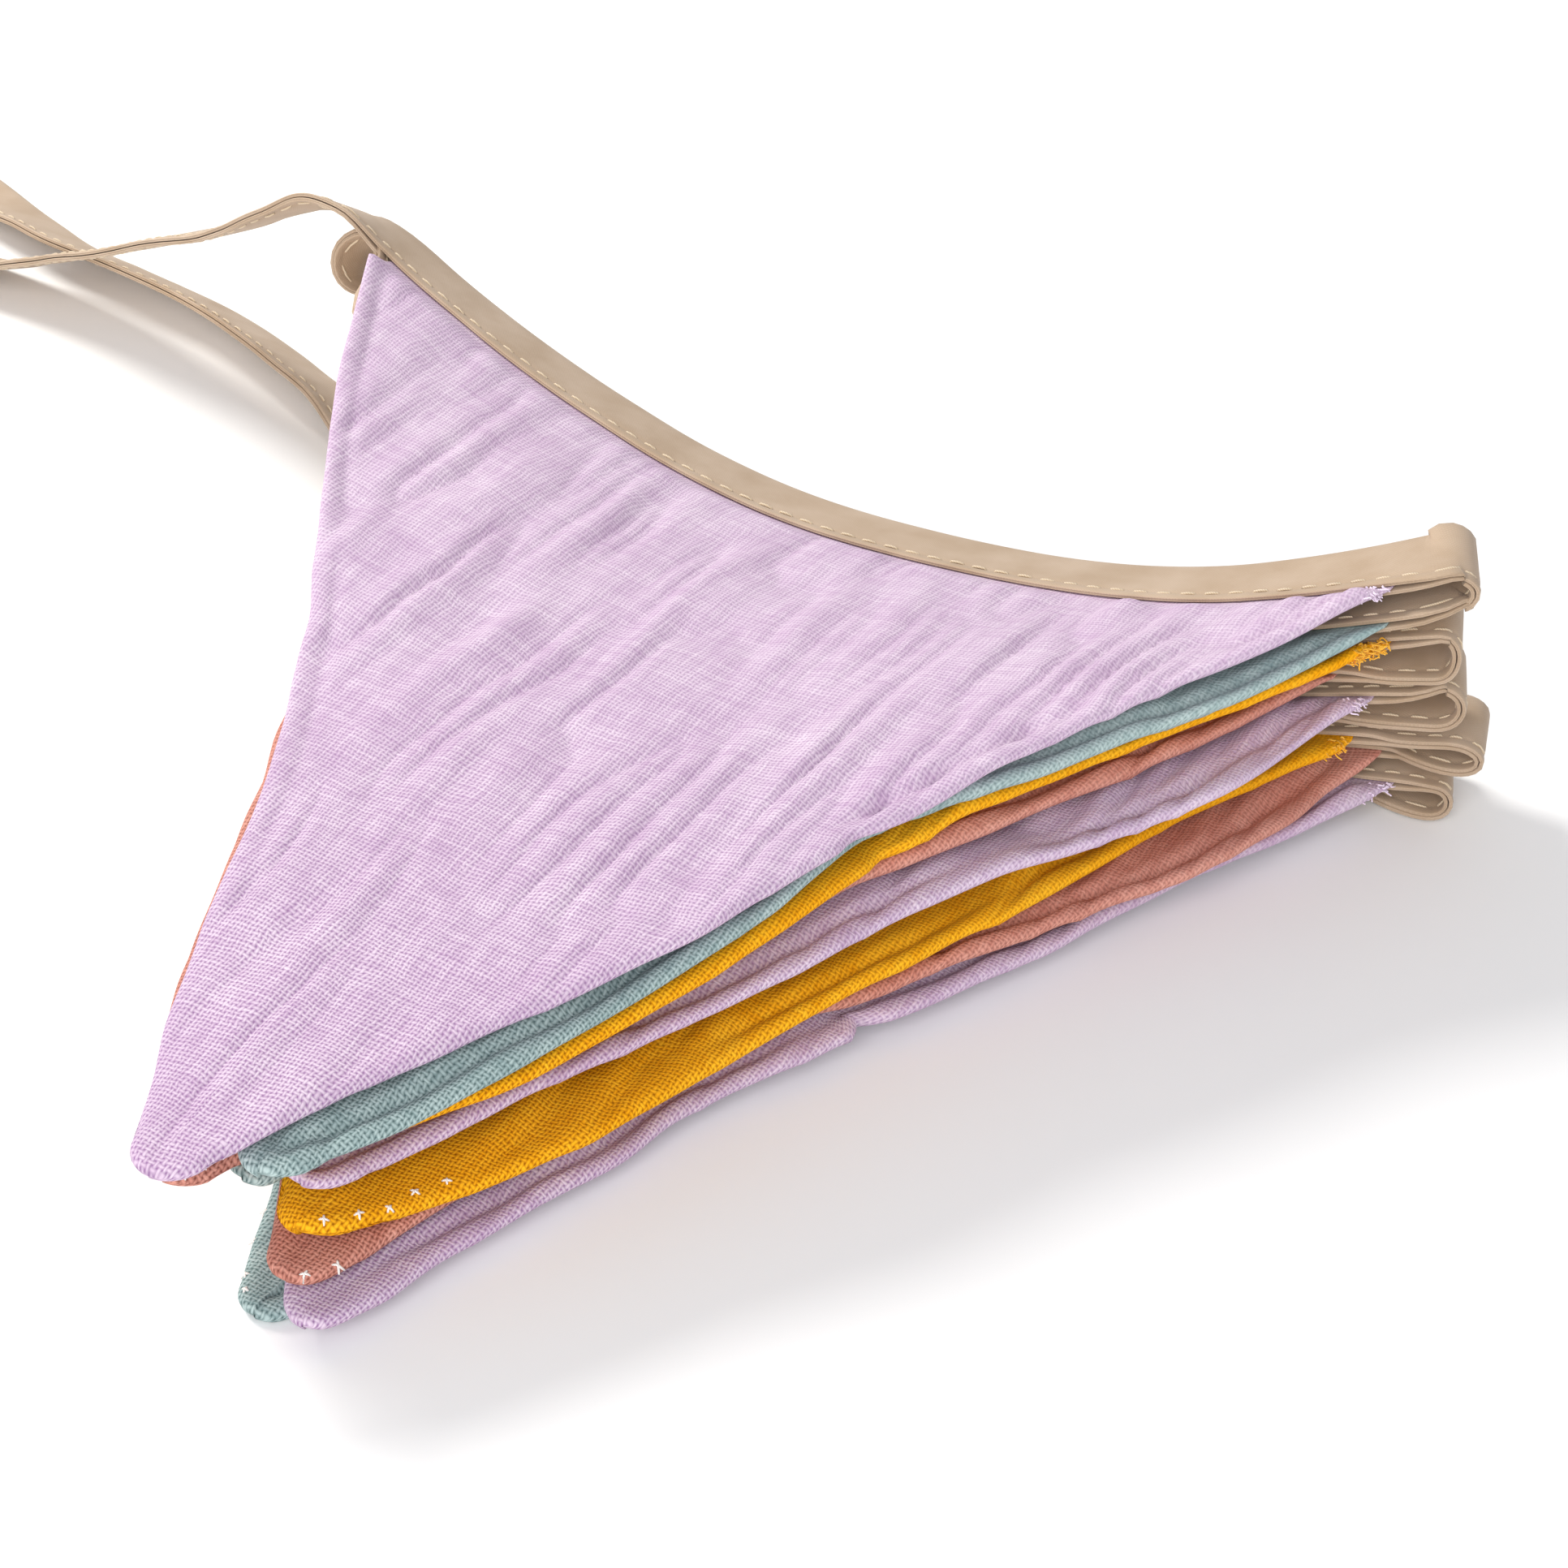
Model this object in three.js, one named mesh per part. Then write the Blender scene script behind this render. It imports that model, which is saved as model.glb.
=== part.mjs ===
// Fabric bunting, folded back and forth into a flat stack.
// Ten triangular gauze flags hang from one folded bias tape. The stack lies with the tape
// along X, the flags' tips towards -Y, and the bottom flag flat on z = 0.
// The origin is on the underside of the bottom flag, under its middle. Millimetres, +Z up.

import * as THREE from 'three';

// Driving sizes of one flag and of the tape
const flagHalfWidth = 75;      // half of a flag's edge at the tape
const tapeLineY = 48;          // where the tape's lower edge runs, measured from the origin
const tapeBow = 7;             // how far the tape sags towards the tips between a flag's corners
const clothHalf = 1.05;        // half the thickness of a flag: four gauze layers with air
const rolledEdgeHalf = 0.6;    // the same at the rolled side edges
const hemHalf = 0.15;          // the same where the tape presses the flag flat
const hemDepth = 9.3;          // how far the flag reaches up between the tape's leaves
const hemLine = 0.4;           // where the flag comes out of the tape
const clothLine = 2.8;         // where it has its full thickness again
const tipRadius = 5;           // rounding of a flag's turned tip
const tapeWidth = 12;
const tapeHalf = 1.0;          // half the thickness of the tape with a flag in it
const slotHalf = 0.75;         // half the gap between the tape's leaves
const slotDepth = 10.8;        // depth of that gap from the lower edge
const closedTapeHalf = 0.7;    // half the thickness of the tape where it is sewn shut
const closedSlotHalf = 0.12;   // its two leaves' edges still show as a thin groove
const closedSlotDepth = 0.6;
const openPastCorner = 1.8;    // how far past a flag's corner the tape stays open

// Top of the stack: heights at the three corners, at the middle of each side and in the middle
const pile = {
  left: 44.5, right: 40, tip: 24,
  tapeSide: 24.9, frontSide: 32.5, backSide: 33, middle: 31.5,
  base: flagHalfWidth * 2, reach: 143,
};
const tapeDip = { left: 0.28, right: -0.26 };  // extra fall of the pressed tape, in mm per mm
const ripple = { height: 0.3, length: 60, slant: 0.35 };

// One row for each flag, from the top of the stack down.
// x, y: where the middle of its tape edge lies from the tape line; turn: degrees about +Z;
// tall: tape edge to tip; left, right: tape edge's middle to the corners as it lies;
// front, back: how far its right and left edges bulge at 1/5, 2/5, 3/5 and 4/5 of their length;
// corner: how far its left corner bulges just below the tape.
const flags = [
  { colour: 'lilac', x: 0.5, y: -0.5, turn: -2.2, tall: 153, left: 76, right: 75,
    front: [-4.5, -2.5, 1, -0.5], back: [0.2, -3.4, -3.9, 0.2], corner: 2.4 },
  { colour: 'teal', x: 1, y: -6.5, turn: 1.1, tall: 139, left: 71, right: 75,
    front: [-4.5, -8.5, -2.5, 0.5], back: [0, 0, -1, 0] },
  { colour: 'mustard', x: 2, y: -1.6, turn: 0.2, tall: 139, left: 72, right: 73.5,
    front: [-5, -6, 0, 2.5], back: [0, 0, 0, 0] },
  { colour: 'rust', x: -6, y: -1.5, turn: -1.3, tall: 145, left: 67, right: 75,
    front: [0.5, 0, -1.5, 0], back: [0, -1, -1.4, 2.6] },
  { colour: 'lilac', x: -2, y: -4, turn: 2.3, tall: 134, left: 68, right: 75,
    front: [4.5, -0.5, 0, 0], back: [0, -1, 0, 0] },
  { colour: 'teal', x: -5, y: 1, turn: 0, tall: 139, left: 68, right: 70,
    front: [-3, -4, -3, -1], back: [0, 0, -1, 0] },
  { colour: 'mustard', x: -4.5, y: -2, turn: 3.2, tall: 138, left: 67, right: 75,
    front: [-1, 1.5, 2.5, 5], back: [0, 0, -1, -1] },
  { colour: 'rust', x: -2.5, y: 2.5, turn: 2.8, tall: 147, left: 69, right: 75,
    front: [5, 0, -5.5, -1.5], back: [0, 1, 0, 0] },
  { colour: 'lilac', x: 0.5, y: 2, turn: 3.2, tall: 149.5, left: 70, right: 75,
    front: [-3, -3.6, -5.2, -2.6], back: [0, 0, 1, 0] },
  { colour: 'teal', x: -5, y: 5, turn: 2.5, tall: 152, left: 66, right: 73,
    front: [-2, -3, -4.5, -1], back: [0, 1, 0, -1] },
];
const swellSpread = 0.13;      // how wide one bulge is, as a share of the edge
const cornerLength = 28;       // how far down the edge a bulging corner fades

// One row for each turn of the tape between two flags, from the top down, by turns right and left.
// reach: from the flags' corners to where the bend starts; bulge: how far the bend goes past that;
// back: how far the turn leans away from the tips; lift: how far it springs up;
// twist: how many degrees its fold is turned towards the tips, or away from them below zero.
const turns = [
  { reach: 1.4, bulge: 3,   back: 2.5,  lift: 0.8, twist: -24 },
  { reach: 9.4, bulge: 3.5, back: 7,    lift: 4.6, twist: 42 },
  { reach: 1.5, bulge: 2,   back: 1.9,  lift: 0.6, twist: -20 },
  { reach: 2.5, bulge: 2.6, back: 3,    lift: 0,   twist: 0 },
  { reach: 3.8, bulge: 3,   back: 2.5,  lift: 1,   twist: -20 },
  { reach: 7,   bulge: 3,   back: 7,    lift: 0,   twist: 0 },
  { reach: 6.7, bulge: 3.5, back: 1.2,  lift: 0,   twist: -13 },
  { reach: 6,   bulge: 3,   back: 5,    lift: 0,   twist: 0 },
  { reach: 1,   bulge: 2.2, back: -0.4, lift: 0,   twist: -17 },
];

// The two free ties, from the stack outwards. y is measured from the tape line, z is the middle
// of the tape's width, and tilt is how many degrees the tape's outer edge dips.
const topTie = [
  { x: -83,  y: 8.4,  z: 45.6, tilt: 27 },
  { x: -90,  y: 8.8,  z: 46,   tilt: 28 },
  { x: -97,  y: 9.2,  z: 43,   tilt: 17 },
  { x: -104, y: 11,   z: 38.8, tilt: 8 },
  { x: -111, y: 13.5, z: 34.5, tilt: 7 },
  { x: -123, y: 17.6, z: 28.5, tilt: 10 },
  { x: -134, y: 21.7, z: 22.5, tilt: 11 },
  { x: -145, y: 25.2, z: 17,   tilt: 12 },
  { x: -155, y: 28.8, z: 12,   tilt: 15 },
  { x: -165, y: 30.8, z: 7.6,  tilt: 19 },
  { x: -173, y: 31.4, z: 4.4,  tilt: 21 },
  { x: -182, y: 32,   z: 2,    tilt: 8 },
  { x: -191, y: 33,   z: 0.8,  tilt: 0 },
];
const bottomTie = [
  { x: -78,  y: 10,   z: 1.1, tilt: 0 },
  { x: -86,  y: 14,   z: 2,   tilt: 10 },
  { x: -94,  y: 19,   z: 3.2, tilt: 24 },
  { x: -102, y: 23.6, z: 3.8, tilt: 31 },
  { x: -111, y: 27.5, z: 4,   tilt: 33 },
  { x: -120, y: 31.5, z: 4.1, tilt: 33 },
  { x: -135, y: 37,   z: 4.1, tilt: 33 },
  { x: -152, y: 40.6, z: 4.1, tilt: 33 },
  { x: -168, y: 43.4, z: 3.9, tilt: 31 },
  { x: -178, y: 46.9, z: 3.5, tilt: 27 },
  { x: -189, y: 51,   z: 2.4, tilt: 16 },
  { x: -200, y: 55.5, z: 0.8, tilt: 0 },
];

// How finely the solids are divided
const flagColumns = 14;
const flagRows = 9;
const tipTurns = [45, 65, 82];   // degrees round the tip at which its rows lie
const wayShares = [0.35, 0.7];   // stations on the way from a flag to the bend, as shares of it
const stepsInBend = 6;
const stepsInTie = 20;

const layers = flags.length;
const degrees = Math.PI / 180;

// Height of the stack's top at a place measured from the tape line: a cubic triangular patch
// through the corner, side and middle heights, with a low ripple across the tape
function pileTop(x, y) {
  const a = -y / pile.reach;
  const l = (1 - a) / 2 - x / pile.base;
  const r = (1 - a) / 2 + x / pile.base;
  const tapePull = 2 * pile.tapeSide - (pile.left + pile.right) / 2;
  const frontPull = 2 * pile.frontSide - (pile.right + pile.tip) / 2;
  const backPull = 2 * pile.backSide - (pile.left + pile.tip) / 2;
  const even = (pile.left + pile.right + pile.tip + 2 * (tapePull + frontPull + backPull)) / 9;
  const patch = pile.left * l * l + pile.right * r * r + pile.tip * a * a
    + 2 * (tapePull * l * r + frontPull * r * a + backPull * l * a)
    + 27 * (pile.middle - even) * l * r * a
    - (tapeDip.left * l + tapeDip.right * r) * Math.max(0, y);
  return patch + ripple.height * Math.sin((x + ripple.slant * y) / ripple.length * 2 * Math.PI);
}

// Height of the middle of one layer; layer 0 is the top, the last one lies flat on the surface
function layerHeight(layer, x, y) {
  const share = (layers - 1 - layer) / (layers - 1);
  return clothHalf + (pileTop(x, y) - clothHalf) * share;
}

// A place on a flag: across the tape line, and down from it towards the tip
function onFlag(layer, across, down) {
  const flag = flags[layer];
  const c = Math.cos(flag.turn * degrees);
  const s = Math.sin(flag.turn * degrees);
  const fade = Math.min(1, (1 - down / flag.tall) ** 2);
  const sagged = down + tapeBow * (1 - (across / flagHalfWidth) ** 2) * fade;
  const x = flag.x + c * across + s * sagged;
  const y = flag.y + s * across - c * sagged;
  return new THREE.Vector3(x, y + tapeLineY, layerHeight(layer, x, y));
}

// A place inside the tape, which lies straight across its width
function inTape(layer, across, up) {
  return onFlag(layer, across, 0).lerp(onFlag(layer, across, -tapeWidth), up / tapeWidth);
}

// How far an edge bulges at a share of the way down it
function swellAt(swells, share) {
  return swells.reduce((sum, size, i) => {
    const off = (share - (i + 1) / (swells.length + 1)) / swellSpread;
    return sum + size * Math.exp(-off * off);
  }, 0);
}

// How far a left corner bulges at a distance down from the tape
function cornerAt(flag, down) {
  return (flag.corner ?? 0) * Math.exp(-((down / cornerLength) ** 2));
}

// The flag's rows from its hidden top edge to its tip, each with its left and right end
function flagRowsOf(flag) {
  const slope = Math.atan2(flagHalfWidth, flag.tall);
  const tipCentre = flag.tall - tipRadius / Math.sin(slope);
  const straightEnd = tipCentre + tipRadius * Math.sin(slope);
  const rows = [];
  const addRow = (down, half, thick) => {
    const share = down / flag.tall;
    const fade = thick === hemHalf ? 0 : Math.min(1, half / tipRadius);
    rows.push({
      down,
      left: -half * flag.left / flagHalfWidth - (swellAt(flag.back, share) + cornerAt(flag, down)) * fade,
      right: half * flag.right / flagHalfWidth + swellAt(flag.front, share) * fade,
      thick,
    });
  };
  const halfAt = (down) => flagHalfWidth * (1 - down / flag.tall);
  for (const down of [-hemDepth, hemLine]) addRow(down, halfAt(hemLine), hemHalf);
  for (let i = 0; i <= flagRows; i++) {
    const down = THREE.MathUtils.lerp(clothLine, straightEnd, i / flagRows);
    addRow(down, halfAt(down), clothHalf);
  }
  for (const turn of tipTurns) {
    const thick = turn === tipTurns.at(-1) ? rolledEdgeHalf : clothHalf;
    addRow(tipCentre + tipRadius * Math.sin(turn * degrees), tipRadius * Math.cos(turn * degrees), thick);
  }
  return rows;
}

// Closed mesh from a grid of upper and lower points
function closedSheet(upper, lower) {
  const rows = upper.length;
  const columns = upper[0].length;
  const points = [...upper.flat(), ...lower.flat()];
  const index = [];
  const top = (i, j) => i * columns + j;
  const bottom = (i, j) => rows * columns + i * columns + j;
  const quad = (a, b, c, d) => index.push(a, b, c, a, c, d);
  for (let i = 0; i < rows - 1; i++) {
    for (let j = 0; j < columns - 1; j++) {
      quad(top(i, j), top(i + 1, j), top(i + 1, j + 1), top(i, j + 1));
      quad(bottom(i, j), bottom(i, j + 1), bottom(i + 1, j + 1), bottom(i + 1, j));
    }
    quad(top(i, 0), bottom(i, 0), bottom(i + 1, 0), top(i + 1, 0));
    quad(top(i, columns - 1), top(i + 1, columns - 1), bottom(i + 1, columns - 1), bottom(i, columns - 1));
  }
  for (let j = 0; j < columns - 1; j++) {
    quad(top(0, j), top(0, j + 1), bottom(0, j + 1), bottom(0, j));
    quad(top(rows - 1, j), bottom(rows - 1, j), bottom(rows - 1, j + 1), top(rows - 1, j + 1));
  }
  const geometry = new THREE.BufferGeometry().setFromPoints(points);
  geometry.setIndex(index);
  geometry.computeVertexNormals();
  return geometry;
}

// One flag: a thin solid on its layer of the stack, with rolled side edges and a flat hem
function flagGeometry(layer) {
  const upper = [];
  const lower = [];
  for (const row of flagRowsOf(flags[layer])) {
    const above = [];
    const below = [];
    for (let j = 0; j <= flagColumns; j++) {
      const edge = j === 0 || j === flagColumns;
      const across = THREE.MathUtils.lerp(row.left, row.right, j / flagColumns);
      const half = edge ? Math.min(row.thick, rolledEdgeHalf) : row.thick;
      const place = row.down < 0 ? inTape(layer, across, -row.down) : onFlag(layer, across, row.down);
      above.push(new THREE.Vector3(place.x, place.y, place.z + half));
      const under = layer === layers - 1 && row.thick > hemHalf ? 0 : place.z - half;
      below.push(new THREE.Vector3(place.x, place.y, under));
    }
    upper.push(above);
    lower.push(below);
  }
  return closedSheet(upper, lower);
}

// A station of the tape: the middle of its width, the way from its lower to its outer edge,
// and how far it is opened for a flag, from 0 to 1
function tapeStation(middle, widthWay, open) {
  return { middle, widthWay: widthWay.clone().normalize(), open };
}

// The stations along one flag, from one corner to the other: one at each column of its hem,
// and one just past each corner
function stationsOnFlag(layer, towards) {
  const flag = flags[layer];
  const [hem] = flagRowsOf(flag);
  const across = [-flag.left - openPastCorner];
  for (let j = 0; j <= flagColumns; j++) {
    across.push(THREE.MathUtils.lerp(hem.left, hem.right, j / flagColumns));
  }
  across.push(flag.right + openPastCorner);
  const stations = across.map((place) => {
    const widthWay = inTape(layer, place, tapeWidth).sub(inTape(layer, place, 0));
    return tapeStation(inTape(layer, place, tapeWidth / 2), widthWay, 1);
  });
  return towards > 0 ? stations : stations.reverse();
}

// The stations of one turn: out past the flags' corners, round the bend and back
function stationsInTurn(from, to, side, turn) {
  const twisted = (way) => way.applyAxisAngle(new THREE.Vector3(0, 0, 1), -side * turn.twist * degrees);
  const out = twisted(new THREE.Vector3(side, 0, 0));
  const bendWay = twisted(from.widthWay.clone().add(to.widthWay).normalize());
  const startX = side * (Math.max(from.middle.x * side, to.middle.x * side) + turn.reach);
  const startY = (from.middle.y + to.middle.y) / 2 + turn.back;
  const onTheWay = (end, share) => {
    const eased = THREE.MathUtils.smoothstep(share, 0, 1);
    const place = new THREE.Vector3(
      THREE.MathUtils.lerp(end.middle.x, startX, share),
      THREE.MathUtils.lerp(end.middle.y, startY, eased),
      end.middle.z + turn.lift * eased);
    const swing = (share ** 3 - share ** 2) * Math.abs(startX - end.middle.x);
    place.addScaledVector(out, swing);
    place.x -= side * swing;
    return tapeStation(place, end.widthWay.clone().lerp(bendWay, share), 0);
  };
  const inBend = (share) => {
    const height = THREE.MathUtils.lerp(to.middle.z, from.middle.z, 0.5 + 0.5 * Math.cos(Math.PI * share));
    const place = new THREE.Vector3(startX, startY, height + turn.lift);
    return tapeStation(place.addScaledVector(out, turn.bulge * Math.sin(Math.PI * share)), bendWay, 0);
  };
  const bend = Array.from({ length: stepsInBend + 1 }, (_, i) => inBend(i / stepsInBend));
  return [
    ...wayShares.map((share) => onTheWay(from, share)),
    ...bend,
    ...wayShares.toReversed().map((share) => onTheWay(to, share)),
  ];
}

// The stations of a tie, on a smooth curve through its rows
function stationsInTie(rows) {
  const place = new THREE.CatmullRomCurve3(
    rows.map((row) => new THREE.Vector3(row.x, row.y + tapeLineY, row.z)), false, 'centripetal');
  const stations = [];
  for (let i = 0; i <= stepsInTie; i++) {
    const share = i / stepsInTie;
    const at = share * (rows.length - 1);
    const row = Math.min(Math.floor(at), rows.length - 2);
    const tilt = THREE.MathUtils.lerp(rows[row].tilt, rows[row + 1].tilt, at - row) * degrees;
    const ahead = place.getTangent(share).setZ(0).normalize();
    const level = new THREE.Vector3(ahead.y, -ahead.x, 0);
    const widthWay = level.multiplyScalar(Math.cos(tilt)).setZ(-Math.sin(tilt));
    stations.push(tapeStation(place.getPoint(share), widthWay, 0));
  }
  return stations;
}

// All the stations, from the free end of the top tie to the free end of the bottom one
function tapeStations() {
  const stations = stationsInTie(topTie).reverse();
  for (let layer = 0; layer < layers; layer++) {
    const side = layer % 2 === 0 ? 1 : -1;
    const here = stationsOnFlag(layer, side);
    stations.push(...here);
    if (layer < layers - 1) {
      const next = stationsOnFlag(layer + 1, -side);
      stations.push(...stationsInTurn(here.at(-1), next[0], side, turns[layer]));
    }
  }
  stations.push(...stationsInTie(bottomTie));
  return stations;
}

// The tape's section at a station: two leaves folded over a gap that opens at the lower edge
function tapeSection(open) {
  const half = THREE.MathUtils.lerp(closedTapeHalf, tapeHalf, open);
  const gap = THREE.MathUtils.lerp(closedSlotHalf, slotHalf, open);
  const depth = THREE.MathUtils.lerp(closedSlotDepth, slotDepth, open);
  const edge = -tapeWidth / 2;
  return [
    [edge, half], [-edge, half], [-edge, -half], [edge, -half],
    [edge, -gap], [edge + depth, -gap], [edge + depth, gap], [edge, gap],
  ];
}

// The whole tape as one closed solid, swept along its stations
function tapeGeometry() {
  const stations = tapeStations();
  const points = [];
  const index = [];
  const corners = tapeSection(0).length;
  stations.forEach((station, i) => {
    const before = stations[Math.max(i - 1, 0)].middle;
    const after = stations[Math.min(i + 1, stations.length - 1)].middle;
    const ahead = after.clone().sub(before).normalize();
    const width = station.widthWay.clone().addScaledVector(ahead, -ahead.dot(station.widthWay)).normalize();
    const face = ahead.clone().cross(width);
    for (const [across, out] of tapeSection(station.open)) {
      points.push(station.middle.clone().addScaledVector(width, across).addScaledVector(face, out));
    }
  });
  for (let i = 0; i < stations.length - 1; i++) {
    for (let j = 0; j < corners; j++) {
      const a = i * corners + j;
      const b = i * corners + (j + 1) % corners;
      index.push(a, a + corners, b + corners, a, b + corners, b);
    }
  }
  // each end is two leaves and the fold that joins them
  const end = [[0, 1, 6], [0, 6, 7], [1, 2, 5], [1, 5, 6], [2, 3, 4], [2, 4, 5]];
  const last = (stations.length - 1) * corners;
  for (const [a, b, c] of end) {
    index.push(a, b, c, last + a, last + c, last + b);
  }
  const geometry = new THREE.BufferGeometry().setFromPoints(points);
  geometry.setIndex(index);
  geometry.computeVertexNormals();
  return geometry;
}

const cloth = (color) => new THREE.MeshStandardMaterial({ color, roughness: 0.95, metalness: 0 });
const finishes = {
  lilac: cloth('#D8BFDD'),
  teal: cloth('#839E9D'),
  mustard: cloth('#E3A012'),
  rust: cloth('#B9715F'),
};
const tapeFinish = new THREE.MeshStandardMaterial({ color: '#CDB296', roughness: 0.8, metalness: 0 });

const group = new THREE.Group();
flags.forEach((flag, layer) => {
  const mesh = new THREE.Mesh(flagGeometry(layer), finishes[flag.colour]);
  mesh.name = `flag_${String(layer + 1).padStart(2, '0')}_${flag.colour}`;
  group.add(mesh);
});
const tape = new THREE.Mesh(tapeGeometry(), tapeFinish);
tape.name = 'tape';
group.add(tape);

export default group;
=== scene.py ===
# Fabric bunting, folded back and forth into a flat stack: ten flags of crinkled cotton double gauze
# sewn into one folded bias tape, whose two ends are left as ties.
# Sizes in the tables are millimetres in the part's own frame, +Z up. Blender's are metres.

import math

import bpy
import numpy as np
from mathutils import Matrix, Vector


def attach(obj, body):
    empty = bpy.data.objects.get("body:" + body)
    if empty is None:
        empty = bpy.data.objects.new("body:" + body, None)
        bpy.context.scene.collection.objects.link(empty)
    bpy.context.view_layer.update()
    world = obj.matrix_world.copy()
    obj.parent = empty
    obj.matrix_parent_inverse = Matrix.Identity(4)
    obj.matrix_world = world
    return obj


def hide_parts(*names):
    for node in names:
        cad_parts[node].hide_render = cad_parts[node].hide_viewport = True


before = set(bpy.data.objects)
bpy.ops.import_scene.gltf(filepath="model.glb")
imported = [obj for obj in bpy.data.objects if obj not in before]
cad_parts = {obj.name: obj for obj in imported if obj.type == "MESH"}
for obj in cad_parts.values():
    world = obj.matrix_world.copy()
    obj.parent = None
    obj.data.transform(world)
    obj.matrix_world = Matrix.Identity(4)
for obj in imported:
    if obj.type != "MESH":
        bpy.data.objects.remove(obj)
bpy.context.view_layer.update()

MM = 0.001

# ---- sizes that the solids share ----

FLAG_HALF_WIDTH = 75.0
TAPE_LINE_Y = 48.0
TAPE_BOW = 7.0
CLOTH_HALF = 1.05
TAPE_WIDTH = 12.0
HEM_DEPTH = 9.3
HEM_HALF = 0.15
TIP_RADIUS = 5.0
OPEN_PAST_CORNER = 1.8
SWELL_SPREAD = 0.13
TOP_CORNER = dict(bulge=2.4, length=28.0, starts=(0, 3))   # the top flag's left corner
LOWEST_CLOTH, LOWEST_THREAD = 0.02, 0.2   # how near the surface a face or a thread's middle may come

# heights of the stack's top at its corners, at the middle of each side and in its middle
PILE = dict(left=44.5, right=40.0, tip=24.0, tape_side=24.9, front_side=32.5, back_side=33.0, middle=31.5,
            base=150.0, reach=143.0)
TAPE_DIP = dict(left=0.28, right=-0.26)
RIPPLE = dict(height=0.3, length=60.0, slant=0.35)

# one row for each flag, from the top of the stack down
FLAG_COLUMNS = ("colour", "x", "y", "turn", "tall", "left", "right", "front", "back")
FLAGS = [dict(zip(FLAG_COLUMNS, row)) for row in [
    ("lilac", 0.5, -0.5, -2.2, 153.0, 76.0, 75.0, (-4.5, -2.5, 1.0, -0.5), (0.2, -3.4, -3.9, 0.2)),
    ("teal", 1.0, -6.5, 1.1, 139.0, 71.0, 75.0, (-4.5, -8.5, -2.5, 0.5), (0.0, 0.0, -1.0, 0.0)),
    ("mustard", 2.0, -1.6, 0.2, 139.0, 72.0, 73.5, (-5.0, -6.0, 0.0, 2.5), (0.0, 0.0, 0.0, 0.0)),
    ("rust", -6.0, -1.5, -1.3, 145.0, 67.0, 75.0, (0.5, 0.0, -1.5, 0.0), (0.0, -1.0, 0.6, 3.0)),
    ("lilac", -2.0, -4.0, 2.3, 134.0, 68.0, 75.0, (4.5, -0.5, 0.0, 0.0), (0.0, -1.0, 0.0, 0.0)),
    ("teal", -5.0, 1.0, 0.0, 139.0, 68.0, 70.0, (-3.0, -4.0, -3.0, -1.0), (0.0, 0.0, -1.0, 0.0)),
    ("mustard", -4.5, -2.0, 3.2, 138.0, 67.0, 75.0, (-1.0, 1.5, 2.5, 5.0), (0.0, 0.0, -1.0, -1.0)),
    ("rust", -2.5, 2.5, 2.8, 147.0, 69.0, 75.0, (5.0, 0.0, -5.5, -1.5), (0.0, 1.0, 0.0, 0.0)),
    ("lilac", 0.5, 2.0, 3.2, 149.5, 70.0, 75.0, (-3.0, -3.6, -5.2, -2.6), (0.0, 0.0, 1.0, 0.0)),
    ("teal", -5.0, 5.0, 2.5, 152.0, 66.0, 73.0, (-2.0, -3.0, -4.5, -1.0), (0.0, 1.0, 0.0, -1.0)),
]]
LAYERS = len(FLAGS)

# one row for each turn of the tape between two flags, from the top down
TURN_COLUMNS = ("reach", "bulge", "back", "lift", "twist")
TURNS = [dict(zip(TURN_COLUMNS, row)) for row in [
    (1.4, 3.0, 2.5, 0.8, -24.0),
    (8.8, 4.0, 8.6, 2.5, 11.0),
    (1.5, 2.0, 1.9, 0.6, -20.0),
    (2.5, 2.6, 3.0, 0.0, 0.0),
    (3.8, 3.0, 2.5, 1.0, -20.0),
    (7.0, 3.0, 7.0, 0.0, 0.0),
    (6.7, 3.5, 1.2, 0.0, -13.0),
    (6.0, 3.0, 5.0, 0.0, 0.0),
    (1.0, 2.2, -0.4, 0.0, -17.0),
]]

# how much taller a bend stands, and how far its back end is pinched and lowered; a late one first
# runs back under the flag's corner. Only the open loop that shows beside the top tie has these.
for turn in TURNS:
    turn.update(spread=0.0, pinch=0.0, dip=0.0, late=0.0)
TURNS[1].update(spread=1.3, pinch=0.1, dip=0.75, late=1.0)

# the two free ties, from the stack outwards: x, y from the tape line, z, and how far the outer edge dips
TOP_TIE = [
    (-83, 8.4, 45.8, 34), (-90, 8.8, 46, 33), (-97, 9.2, 43, 18), (-104, 11, 38.8, 8), (-111, 13.5, 34.5, 7),
    (-123, 17.6, 28.5, 10), (-134, 21.7, 22.5, 11), (-145, 25.2, 17, 12), (-155, 28.8, 12, 15),
    (-165, 30.8, 7.6, 19), (-173, 31.4, 4.4, 21), (-182, 32, 2, 8), (-191, 33, 0.8, 0),
]
BOTTOM_TIE = [
    (-78, 10, 1.1, 0), (-86, 14, 2, 10), (-94, 19, 3.2, 24), (-102, 23.6, 3.8, 31), (-111, 27.5, 4, 33),
    (-120, 31.5, 4.1, 33), (-135, 37, 4.1, 33), (-152, 40.6, 4.1, 33), (-168, 43.4, 3.9, 31),
    (-178, 46.9, 3.5, 27), (-189, 51, 2.4, 16), (-200, 55.5, 0.8, 0),
]


# ---- the shapes that the solids share ----

def smoothstep(low, high, x):
    t = np.clip((x - low) / (high - low), 0, 1)
    return t * t * (3 - 2 * t)


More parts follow.
